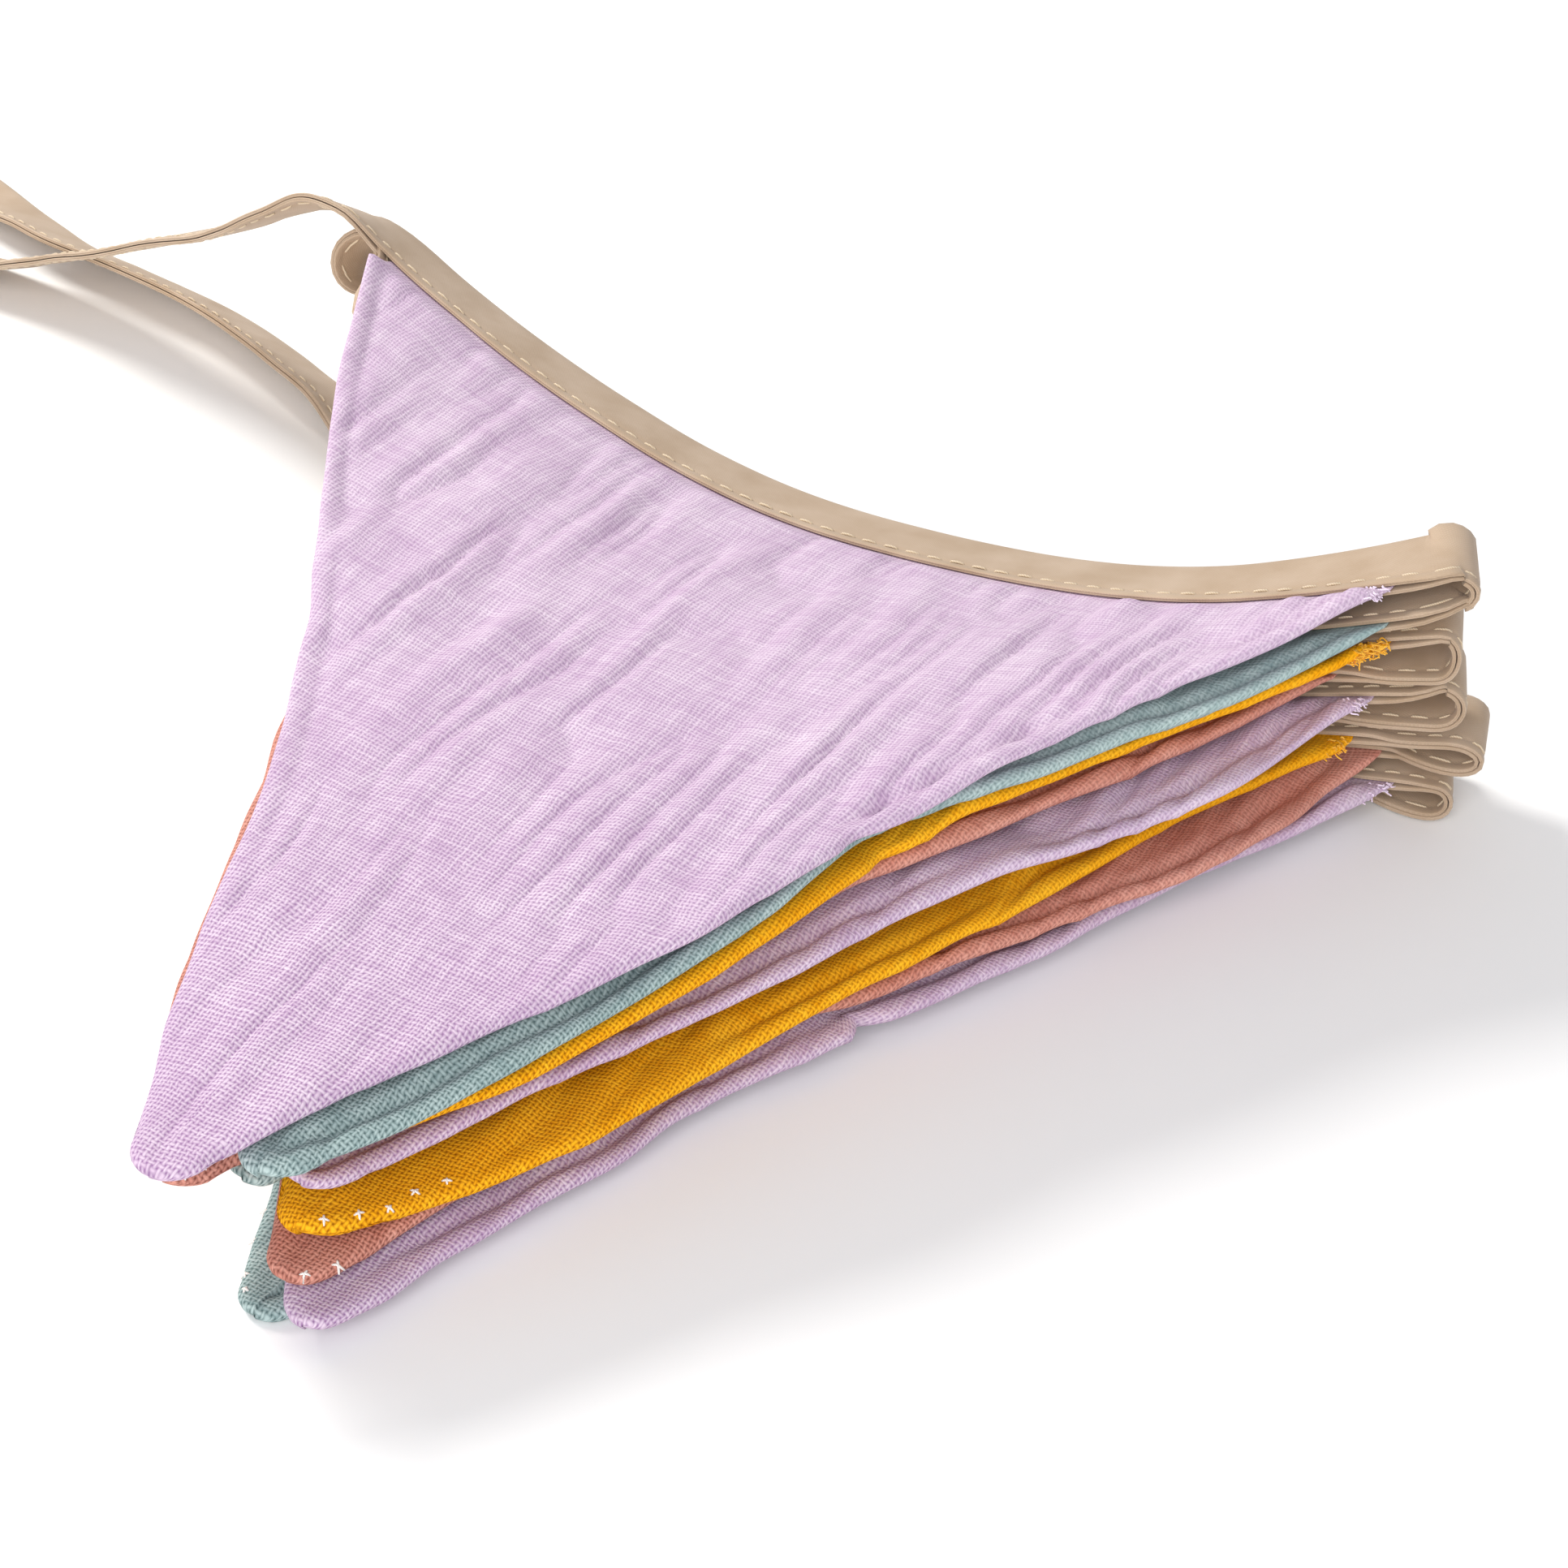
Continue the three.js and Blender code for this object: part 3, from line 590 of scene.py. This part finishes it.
def turn_stations(start, end, side, turn):
    """From the last station on one flag, out round the bend, to the first on the next."""
    angle = -side * math.radians(turn["twist"])
    c, s = math.cos(angle), math.sin(angle)
    twisted = lambda v: np.array([c * v[0] - s * v[1], s * v[0] + c * v[1], v[2]])
    out = twisted(np.array([side, 0.0, 0.0]))
    bend_way = twisted(unit(start[1] + end[1]))
    reach_x = side * (max(start[0][0] * side, end[0][0] * side) + turn["reach"])
    reach_y = (start[0][1] + end[0][1]) / 2 + turn["back"]
    bend_way = bend_way - [0, 0, turn["dip"]]
    places, ways = [], []

    def leg(place, way, shares, lift):
        for share in shares:
            eased = share * share * (3 - 2 * share)
            swing = (share ** 3 - share ** 2) * abs(reach_x - place[0])
            x = place[0] + (reach_x - place[0]) * share ** (1 + turn["late"]) - side * swing
            y = place[1] + (reach_y - place[1]) * eased
            z = place[2] + lift * eased ** (1 + turn["late"])
            places.append(np.array([x, y, z]) + out * swing)
            ways.append(way + (bend_way - way) * share ** (1 + turn["late"]))

    leg(start[0], start[1], LEG_SHARES, turn["lift"] + turn["spread"])
    half_height = (start[0][2] - end[0][2]) / 2 + turn["spread"]
    for share in BEND_SHARES:
        z = (start[0][2] + end[0][2]) / 2 + half_height * math.cos(math.pi * share) + turn["lift"]
        places.append(np.array([reach_x, reach_y, z]) + out * turn["bulge"] * math.sin(math.pi * share))
        ways.append(bend_way + np.array([0, 0, -turn["pinch"] * math.cos(math.pi * share)]))
    leg(end[0], end[1], LEG_SHARES[::-1], turn["lift"] - turn["spread"])
    return np.array(places), np.array(ways), np.zeros(len(places))


def tape_path():
    """Stations along the whole tape: middle, way across, way ahead, face, opening and length."""
    parts = [tuple(a[::-1] for a in tie_stations(TOP_TIE))]
    for layer in range(LAYERS):
        side = 1 if layer % 2 == 0 else -1
        here = flag_stations(layer, side)
        parts.append(here)
        if layer < LAYERS - 1:
            ahead = flag_stations(layer + 1, -side)
            parts.append(turn_stations((here[0][-1], here[1][-1]), (ahead[0][0], ahead[1][0]), side,
                                       TURNS[layer]))
    parts.append(tie_stations(BOTTOM_TIE))
    middle, way, opened = (np.concatenate([p[i] for p in parts]) for i in range(3))
    gone = np.concatenate([[0], np.cumsum(np.linalg.norm(np.diff(middle, axis=0), axis=1))])
    step = TAPE_STEP["bend"] + (TAPE_STEP["flag"] - TAPE_STEP["bend"]) * opened
    steps = np.concatenate([[0], np.cumsum(np.diff(gone) / step[1:])])
    length = np.interp(np.linspace(0, steps[-1], int(steps[-1])), steps, gone)
    at_length = lambda a: np.stack([np.interp(length, gone, a[:, i]) for i in range(3)], -1)
    middle, way, opened = at_length(middle), at_length(way), np.interp(length, gone, opened)
    for _ in range(2):   # rounds off what the tables leave angular
        for a in (middle, way):
            a[1:-1] = 0.25 * a[:-2] + 0.5 * a[1:-1] + 0.25 * a[2:]
    opened[1:-1] = 0.25 * opened[:-2] + 0.5 * opened[1:-1] + 0.25 * opened[2:]
    ahead = unit(np.gradient(middle, axis=0))
    way = unit(way - ahead * (ahead * way).sum(-1, keepdims=True))
    return dict(middle=middle, way=way, ahead=ahead, face=np.cross(ahead, way), open=opened, length=length)


STITCH_LINE = 1.6    # from the tape's lower edge
PUCKER = ((0.05, 3.2, 7), (0.08, 11, 8))    # height and length in mm, and the seed
WANDER = dict(size=0.12, length=9.0, seed=21)    # of the tape's width to either side


def tape_half(opened):
    """Half the tape's thickness: thinner where it is shut."""
    return TAPE_SHUT["half"] + (TAPE_OPEN["half"] - TAPE_SHUT["half"]) * opened


def tape_section(opened, length):
    """The folded tape's section at each station: upper leaf, round fold and lower leaf."""
    low, high = -TAPE_WIDTH / 2, TAPE_WIDTH / 2
    half = tape_half(opened)
    gap = TAPE_SHUT["gap"] + (TAPE_OPEN["gap"] - TAPE_SHUT["gap"]) * opened
    mid = (half + gap) / 2
    pucker = sum(size * soft_noise(length / long, 0.0, seed) for size, long, seed in PUCKER)
    one = np.ones_like(half)
    face = lambda across, dent: (one * across, half - dent + pucker * (1 if -5.4 < across < 5 else 0))
    leaf = [
        (one * (high - 1.4), gap), (one * 0, gap), (one * (low + 0.5), gap), (one * (low + 0.12), gap + 0.03),
        (one * low, gap + 0.13), (one * low, mid - 0.07), (one * (low + 0.16), mid), (one * low, mid + 0.07),
        (one * low, half - 0.16), (one * (low + 0.07), half - 0.05), (one * (low + 0.22), half),
        face(low + 0.8, 0.0), face(low + STITCH_LINE - 0.35, 0.04), face(low + STITCH_LINE, 0.13),
        face(low + STITCH_LINE + 0.35, 0.04), face(low + 2.8, 0.0), face(-1.2, 0.02), face(1.4, 0.02),
        face(3.6, 0.03), face(4.9, 0.06), (one * (high - 0.55), half - 0.14),
        (one * (high - 0.2), half - 0.32), (one * high, half * 0.3),
    ]
    upper = np.array(leaf).transpose(2, 0, 1)
    lower = upper[:, ::-1] * [1, -1]
    return np.concatenate([upper, lower], 1)


def make_tape(path):
    section = tape_section(path["open"], path["length"])
    wander = WANDER["size"] * soft_noise(path["length"] / WANDER["length"], 0.0, WANDER["seed"])
    points = (path["middle"][:, None] + path["way"][:, None] * (section[..., :1] + wander[:, None, None])
              + path["face"][:, None] * section[..., 1:])
    points[..., 2] = np.maximum(points[..., 2], LOWEST_CLOTH)
    around = section.shape[1]
    run = np.concatenate([[0], np.cumsum(np.linalg.norm(np.diff(section[0], axis=0), axis=1))])
    cloth = np.stack([np.repeat(path["length"][:, None], around, 1),
                      np.repeat(run[None], len(section), 0)], -1)
    obj = make_mesh("folded_bias_tape", points.reshape(-1, 3), ring_faces(len(section), around), TAPE_COTTON,
                    cloth.reshape(-1, 2))
    return put(obj, "tape")


path = tape_path()
tape_piece = make_tape(path)


# ---- stitches and loose threads ----

def tubes(name, lines, radii, sides, material):
    """One mesh of many thin round threads; lines is an array of threads, points and places in mm."""
    lines = np.asarray(lines, float)
    threads, rings = lines.shape[:2]
    ahead = unit(np.gradient(lines, axis=1))
    helper = np.where(np.abs(ahead[..., 2:]) > 0.9, np.array([1.0, 0, 0]), np.array([0, 0, 1.0]))
    side = unit(np.cross(ahead, helper))
    up = np.cross(side, ahead)
    angle = np.linspace(0, 2 * math.pi, sides, endpoint=False)
    circle = np.cos(angle)[:, None] * side[..., None, :] + np.sin(angle)[:, None] * up[..., None, :]
    points = lines[..., None, :] + circle * np.asarray(radii)[..., None, None]
    one = ring_faces(rings, sides)
    faces = [[v + n * rings * sides for v in face] for n in range(threads) for face in one]
    return make_mesh(name, points.reshape(-1, 3), faces, material)


STITCH = dict(pitch=3.2, length=2.1, radius=0.17, first=1.5, last=3.0, uneven=0.06, slant=0.12)
# places along a stitch, how far each is pulled into the tape, and its thickness as a share
STITCH_SHARES = np.array([-0.5, -0.38, 0, 0.38, 0.5])
STITCH_SINK = np.array([0.28, 0.02, -0.04, 0.02, 0.28])
STITCH_TAPER = np.array([0.45, 0.9, 1.0, 0.9, 0.45])


def make_tape_stitches(path):
    """The running line of machine stitches that holds the flags in, seen on both faces of the tape."""
    starts = np.arange(STITCH["first"], path["length"][-1] - STITCH["last"], STITCH["pitch"])
    at = starts[:, None] + STITCH["length"] * (0.5 + STITCH_SHARES)
    take = lambda name: np.stack([np.interp(at, path["length"], path[name][:, i]) for i in range(3)], -1)
    middle, way, face = take("middle"), unit(take("way")), unit(take("face"))
    half = tape_half(np.interp(at, path["length"], path["open"]))
    rng = np.random.default_rng(4)
    lines = []
    for side in (1, -1):
        drift = rng.normal(0, STITCH["uneven"], len(starts))[:, None, None]
        drift = drift + STITCH_SHARES[None, :, None] * STITCH["slant"]
        out = half - 0.13 + STITCH["radius"] * 0.7 - STITCH_SINK    # it lies in the pucker along the line
        lines.append(middle + way * (-TAPE_WIDTH / 2 + STITCH_LINE + drift) + face * side * out[..., None])
    lines = np.concatenate(lines)
    lines[..., 2] = np.maximum(lines[..., 2], LOWEST_THREAD)
    radii = np.broadcast_to(STITCH["radius"] * STITCH_TAPER, lines.shape[:2])
    return put(tubes("tape_stitches", lines, radii, 6, CREAM_THREAD))


# Small white tacking stitches near the turned edges: flag, and where each one is across and down it
TACKS = [
    (7, ((2.8, 130.8), (5.5, 128.1), (8.0, 125.8), (9.5, 122.4), (11.8, 119.3))),
    (8, ((4.2, 137.2), (2.0, 140.0))),
    (10, ((-4.0, 141.0), (-2.4, 143.4), (-6.6, 135.6), (-8.4, 131.0))),
    (4, ((4.0, 134.1), (3.2, 136.0), (2.2, 137.8), (5.6, 131.0))),
]
TACK = dict(arm=0.55, radius=0.15)
TACK_RISE = np.array([-0.1, 0.08, 0.14, 0.08, -0.1])    # above the cloth, along an arm
TACK_TAPER = np.array([0.7, 1, 1, 1, 0.7])


def make_tacks():
    """Small crosses of two arms each, turned at random."""
    rng = np.random.default_rng(9)
    lines = []
    for number, places in TACKS:
        for across, down in places:
            turn = rng.uniform(0, math.pi)
            for arm in (turn, turn + rng.uniform(1.2, 1.9)):
                t = np.linspace(-1, 1, 5) * TACK["arm"] * rng.uniform(0.8, 1.2)
                line, thick = cloth_shape(number - 1, across + t * math.cos(arm), down + t * math.sin(arm))
                line[:, 2] += thick + TACK_RISE
                lines.append(line)
    radii = np.broadcast_to(TACK["radius"] * TACK_TAPER, (len(lines), len(TACK_TAPER)))
    return put(tubes("white_tacking_stitches", lines, radii, 6, WHITE_THREAD))


# Frayed corners at the tape: flag, threads, how far they reach, and how many of them trail further
FRAYS = [(1, 46, 1.0, 3), (3, 110, 1.9, 7), (5, 24, 1.0, 2), (7, 40, 1.1, 2), (9, 30, 1.1, 3)]
FRAY_RADII = np.linspace(0.15, 0.09, 8)    # from the cloth to a thread's end


def make_frays(colour):
    """The loose threads of one colour, each from a place near its flag's corner."""
    rng = np.random.default_rng(len(colour))
    lines = []
    for number, threads, reach, trailing in FRAYS:
        layer, flag = number - 1, FLAGS[number - 1]
        if flag["colour"] != colour:
            continue
        for n in range(threads):
            down = np.array(rng.uniform(0.5, 4.0))
            right = flag_outline(flag, down)[1]
            start, _ = cloth_shape(layer, right - rng.uniform(0.2, 2.4), down)   # just inside the edge
            start[2] += rng.uniform(-0.7, 0.8)
            long = reach * rng.uniform(0.4, 1.0) * (1.5 if n < trailing else 1)
            way = unit(np.array([1.0, rng.uniform(-0.9, 0.3), rng.uniform(-0.4, 0.4)]))
            curl = unit(rng.normal(0, 1, 3)) * rng.uniform(0.5, 1.1)
            t = np.linspace(0, 1, len(FRAY_RADII))[:, None]
            line = start + way * long * t + curl * np.sin(t * math.pi * rng.uniform(1.0, 2.6)) * long * 0.4
            line[:, 2] = np.maximum(line[:, 2], LOWEST_THREAD)
            lines.append(line)
    radii = np.broadcast_to(FRAY_RADII, (len(lines), len(FRAY_RADII)))
    return put(tubes(f"frayed_{colour}_corners", lines, radii, 5, FRAY[colour]))


stitches_piece = make_tape_stitches(path)
make_tacks()
for colour in FRAY:
    make_frays(colour)


# ---- floor, light and camera ----

FLOOR_HALF = 3000
WORLD = dict(colour="#FBFBFF", strength=0.5)
LIGHT_TARGET = (0, 0, 0.02)
LIGHTS = [    # name, place, size across, power and colour
    ("window_left", (-0.86, 0.15, 0.74), 0.42, 11.8, "#FFFDF8"),
    ("front_softbox", (0.35, -0.95, 0.6), 1.0, 10.8, "#FFFFFF"),
]


def make_floor():
    material, _, shader = new_material("pale_matt_floor")
    shader.inputs["Base Color"].default_value = linear("#F7F7F7")
    shader.inputs["Roughness"].default_value = 0.9
    shader.inputs["Specular IOR Level"].default_value = 0.1
    half = FLOOR_HALF
    floor = make_mesh("floor", [(-half, -half, 0), (half, -half, 0), (half, half, 0), (-half, half, 0)],
                      [[0, 1, 2, 3]], material)


def add_light(name, place, size, power, code):
    lamp = bpy.data.lights.new(name, "AREA")
    lamp.shape = "DISK"
    lamp.size = size
    lamp.energy = power
    lamp.color = linear(code)[:3]
    obj = bpy.data.objects.new(name, lamp)
    bpy.context.scene.collection.objects.link(obj)
    obj.location = place
    obj.rotation_euler = (Vector(LIGHT_TARGET) - Vector(place)).to_track_quat("-Z", "Y").to_euler()


def light_the_room():
    world = bpy.data.worlds.new("soft_white_room")
    world.use_nodes = True
    background = world.node_tree.nodes["Background"]
    background.inputs["Color"].default_value = linear(WORLD["colour"])
    background.inputs["Strength"].default_value = WORLD["strength"]
    bpy.context.scene.world = world
    for light in LIGHTS:
        add_light(*light)


CAMERA = dict(azimuth=29.2, elevation=35.9, distance=450.0, focal_px=4478.0, target=(13.0, 4.5, 15.0))
IMAGE_PX, SENSOR_MM = 1932, 36.0


def place_camera():
    a, e = math.radians(CAMERA["azimuth"]), math.radians(CAMERA["elevation"])
    back = Vector((math.sin(a) * math.cos(e), -math.cos(a) * math.cos(e), math.sin(e)))
    lens = bpy.data.cameras.new("camera")
    lens.sensor_width = SENSOR_MM
    lens.lens = CAMERA["focal_px"] / IMAGE_PX * SENSOR_MM
    lens.clip_start, lens.clip_end = 0.01, 20
    camera = bpy.data.objects.new("camera", lens)
    bpy.context.scene.collection.objects.link(camera)
    camera.location = (Vector(CAMERA["target"]) + back * CAMERA["distance"]) * MM
    camera.rotation_euler = (-back).to_track_quat("-Z", "Y").to_euler()
    bpy.context.scene.camera = camera


make_floor()
light_the_room()
place_camera()
bpy.context.scene.view_settings.view_transform = "Standard"
